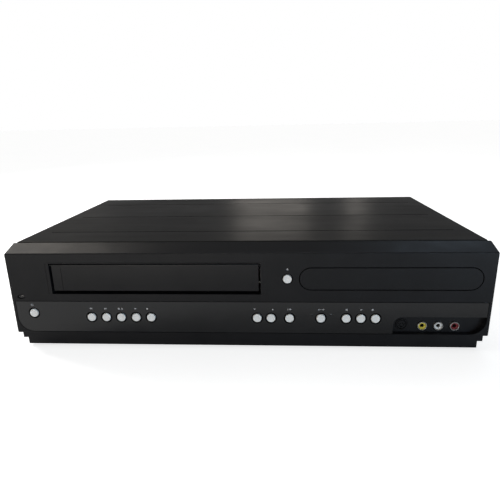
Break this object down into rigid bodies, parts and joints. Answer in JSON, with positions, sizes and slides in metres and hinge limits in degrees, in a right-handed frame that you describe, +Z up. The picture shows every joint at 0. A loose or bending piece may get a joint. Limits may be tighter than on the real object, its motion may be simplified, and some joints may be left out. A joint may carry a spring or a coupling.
{
  "type": "disc and cassette combination player",
  "caption": "Free-standing black deck with a cassette door, a pill-shaped disc drawer, round silver buttons and front sockets, and its loading works inside.",
  "frame": {"origin": "on the floor under the middle of the whole player", "axes": "+X to the right of a person facing the front, the longest side; -Y out of the front; +Z up, the shortest side"},
  "size_m": [0.435, 0.2578, 0.0995],
  "materials": {
    "black_plastic": "fine-grained moulded plastic",
    "strip_plastic": "satin gloss moulded plastic",
    "black_painted_steel": "satin black powder coat",
    "button_silver": "pale silver paint",
    "lamp_window": "dark translucent window",
    "rubber": "matt",
    "zinc_steel": "zinc plated sheet",
    "machined_metal": "turned and polished",
    "board_green": "solder mask",
    "dark_nylon": "moulded nylon",
    "tray_plastic": "fine-grained moulded plastic",
    "socket_yellow": "moulded insert in a plated barrel",
    "socket_white": "moulded insert in a plated barrel",
    "socket_red": "moulded insert in a plated barrel"
  },
  "bodies": {
    "root": {"front_panel": "black_plastic", "control_strip": "strip_plastic", "top_cover": "black_painted_steel", "cover_screw_left_front": "black_painted_steel", "cover_screw_left_rear": "black_painted_steel", "cover_screw_right_front": "black_painted_steel", "cover_screw_right_rear": "black_painted_steel", "power_lamp_window": "lamp_window", "foot_front_left": "rubber", "foot_front_right": "rubber", "foot_rear_left": "rubber", "foot_rear_right": "rubber", "cord_gland": "rubber", "bottom_chassis": "zinc_steel", "rear_panel": "zinc_steel", "vcr_deck": "zinc_steel", "clamp_bridge": "zinc_steel", "tuner_can": "zinc_steel", "drum_lower": "machined_metal", "front_board": "board_green", "main_board": "board_green", "power_board": "board_green", "drive_frame": "dark_nylon", "fan_frame": "tray_plastic", "rear_jack_block": "tray_plastic", "svideo_socket": "tray_plastic", "video_socket": "socket_yellow", "audio_left_socket": "socket_white", "audio_right_socket": "socket_red"},
    "loader_carriage": {"loader_carriage": "zinc_steel"},
    "cassette_holder": {"cassette_holder": "zinc_steel"},
    "cassette_door": {"cassette_door": "black_plastic"},
    "drum_upper": {"drum_upper": "machined_metal"},
    "capstan": {"capstan": "machined_metal"},
    "pinch_arm": {"pinch_arm": "machined_metal"},
    "pinch_roller": {"pinch_roller": "rubber"},
    "supply_reel": {"supply_reel": "dark_nylon"},
    "take_up_reel": {"take_up_reel": "dark_nylon"},
    "tray": {"disc_tray": "tray_plastic", "tray_front": "black_plastic"},
    "tray_gear": {"tray_gear": "dark_nylon"},
    "traverse": {"traverse_frame": "dark_nylon"},
    "turntable": {"turntable": "dark_nylon"},
    "laser_sled": {"laser_sled": "machined_metal"},
    "disc_clamp": {"disc_clamp": "tray_plastic"},
    "fan_rotor": {"fan_rotor": "tray_plastic"},
    "power_button": {"power_button": "button_silver"},
    "rewind_button": {"rewind_button": "button_silver"},
    "fast_forward_button": {"fast_forward_button": "button_silver"},
    "tape_stop_button": {"tape_stop_button": "button_silver"},
    "tape_play_button": {"tape_play_button": "button_silver"},
    "tape_record_button": {"tape_record_button": "button_silver"},
    "tracking_down_button": {"tracking_down_button": "button_silver"},
    "tracking_up_button": {"tracking_up_button": "button_silver"},
    "dubbing_button": {"dubbing_button": "button_silver"},
    "source_button": {"source_button": "button_silver"},
    "disc_stop_button": {"disc_stop_button": "button_silver"},
    "disc_play_button": {"disc_play_button": "button_silver"},
    "disc_record_button": {"disc_record_button": "button_silver"},
    "open_close_button": {"open_close_button": "button_silver"}
  },
  "joints": [
    {"name": "power_press", "type": "slide", "parent": "root", "child": "power_button", "axis": [0, 1, 0], "range_m": [0, 0.0008], "stiffness_N_per_m": 500},
    {"name": "rewind_press", "type": "slide", "parent": "root", "child": "rewind_button", "axis": [0, 1, 0], "range_m": [0, 0.0008], "stiffness_N_per_m": 500},
    {"name": "fast_forward_press", "type": "slide", "parent": "root", "child": "fast_forward_button", "axis": [0, 1, 0], "range_m": [0, 0.0008], "stiffness_N_per_m": 500},
    {"name": "tape_stop_press", "type": "slide", "parent": "root", "child": "tape_stop_button", "axis": [0, 1, 0], "range_m": [0, 0.0008], "stiffness_N_per_m": 500},
    {"name": "tape_play_press", "type": "slide", "parent": "root", "child": "tape_play_button", "axis": [0, 1, 0], "range_m": [0, 0.0008], "stiffness_N_per_m": 500},
    {"name": "tape_record_press", "type": "slide", "parent": "root", "child": "tape_record_button", "axis": [0, 1, 0], "range_m": [0, 0.0008], "stiffness_N_per_m": 500},
    {"name": "tracking_down_press", "type": "slide", "parent": "root", "child": "tracking_down_button", "axis": [0, 1, 0], "range_m": [0, 0.0008], "stiffness_N_per_m": 500},
    {"name": "tracking_up_press", "type": "slide", "parent": "root", "child": "tracking_up_button", "axis": [0, 1, 0], "range_m": [0, 0.0008], "stiffness_N_per_m": 500},
    {"name": "dubbing_press", "type": "slide", "parent": "root", "child": "dubbing_button", "axis": [0, 1, 0], "range_m": [0, 0.0008], "stiffness_N_per_m": 500},
    {"name": "source_press", "type": "slide", "parent": "root", "child": "source_button", "axis": [0, 1, 0], "range_m": [0, 0.0008], "stiffness_N_per_m": 500},
    {"name": "disc_stop_press", "type": "slide", "parent": "root", "child": "disc_stop_button", "axis": [0, 1, 0], "range_m": [0, 0.0008], "stiffness_N_per_m": 500},
    {"name": "disc_play_press", "type": "slide", "parent": "root", "child": "disc_play_button", "axis": [0, 1, 0], "range_m": [0, 0.0008], "stiffness_N_per_m": 500},
    {"name": "disc_record_press", "type": "slide", "parent": "root", "child": "disc_record_button", "axis": [0, 1, 0], "range_m": [0, 0.0008], "stiffness_N_per_m": 500},
    {"name": "open_close_press", "type": "slide", "parent": "root", "child": "open_close_button", "axis": [0, 1, 0], "range_m": [0, 0.0008], "stiffness_N_per_m": 500},
    {"name": "cassette_door_swing", "type": "hinge", "parent": "root", "child": "cassette_door", "pos_m": [-0.0813, -0.1262, 0.0817], "axis": [1, 0, 0], "range_deg": [0, 85], "stiffness_Nm_per_rad": 0.01, "springref_deg": -17.19},
    {"name": "carriage_travel", "type": "slide", "parent": "root", "child": "loader_carriage", "axis": [0, 1, 0], "range_m": [0, 0.042]},
    {"name": "holder_drop", "type": "slide", "parent": "loader_carriage", "child": "cassette_holder", "axis": [0, 0, -1], "range_m": [0, 0.03]},
    {"name": "drum_spin", "type": "hinge", "parent": "root", "child": "drum_upper", "pos_m": [-0.0813, 0.0859, 0.0159], "axis": [0, -0.0872, 0.9962], "continuous": true},
    {"name": "capstan_spin", "type": "hinge", "parent": "root", "child": "capstan", "pos_m": [-0.0233, 0.0679, 0.0159], "axis": [0, 0, 1], "continuous": true},
    {"name": "pinch_arm_swing", "type": "hinge", "parent": "root", "child": "pinch_arm", "pos_m": [-0.0013, 0.0779, 0.0159], "axis": [0, 0, -1], "range_deg": [0, 14]},
    {"name": "pinch_roller_spin", "type": "hinge", "parent": "pinch_arm", "child": "pinch_roller", "pos_m": [-0.0113, 0.0639, 0.023], "axis": [0, 0, 1], "continuous": true},
    {"name": "supply_reel_spin", "type": "hinge", "parent": "root", "child": "supply_reel", "pos_m": [-0.1273, -0.0031, 0.0159], "axis": [0, 0, 1], "continuous": true},
    {"name": "take_up_reel_spin", "type": "hinge", "parent": "root", "child": "take_up_reel", "pos_m": [-0.0353, -0.0031, 0.0159], "axis": [0, 0, 1], "continuous": true},
    {"name": "tray_travel", "type": "slide", "parent": "root", "child": "tray", "axis": [0, -1, 0], "range_m": [0, 0.132]},
    {"name": "tray_gear_spin", "type": "hinge", "parent": "root", "child": "tray_gear", "pos_m": [0.08325, -0.0918, 0.0577], "axis": [0, 0, 1], "range_deg": [0, 842]},
    {"name": "traverse_lift", "type": "hinge", "parent": "root", "child": "traverse", "pos_m": [0.12825, 0.0479, 0.057], "axis": [-1, 0, 0], "range_deg": [0, 5]},
    {"name": "turntable_spin", "type": "hinge", "parent": "traverse", "child": "turntable", "pos_m": [0.12825, -0.05919, 0.04763], "axis": [0, -0.0872, 0.9962], "continuous": true},
    {"name": "sled_travel", "type": "slide", "parent": "traverse", "child": "laser_sled", "axis": [0, 0.9962, 0.0872], "range_m": [0, 0.036]},
    {"name": "clamp_spin", "type": "hinge", "parent": "root", "child": "disc_clamp", "pos_m": [0.12825, -0.0596, 0.08], "axis": [0, 0, 1], "continuous": true},
    {"name": "fan_spin", "type": "hinge", "parent": "root", "child": "fan_rotor", "pos_m": [0.08, 0.1134, 0.062], "axis": [0, 1, 0], "continuous": true}
  ],
  "couplings": [
    {"joint": "tray_gear_spin", "follows": "tray_travel", "rad_per_m": 111.11}
  ]
}
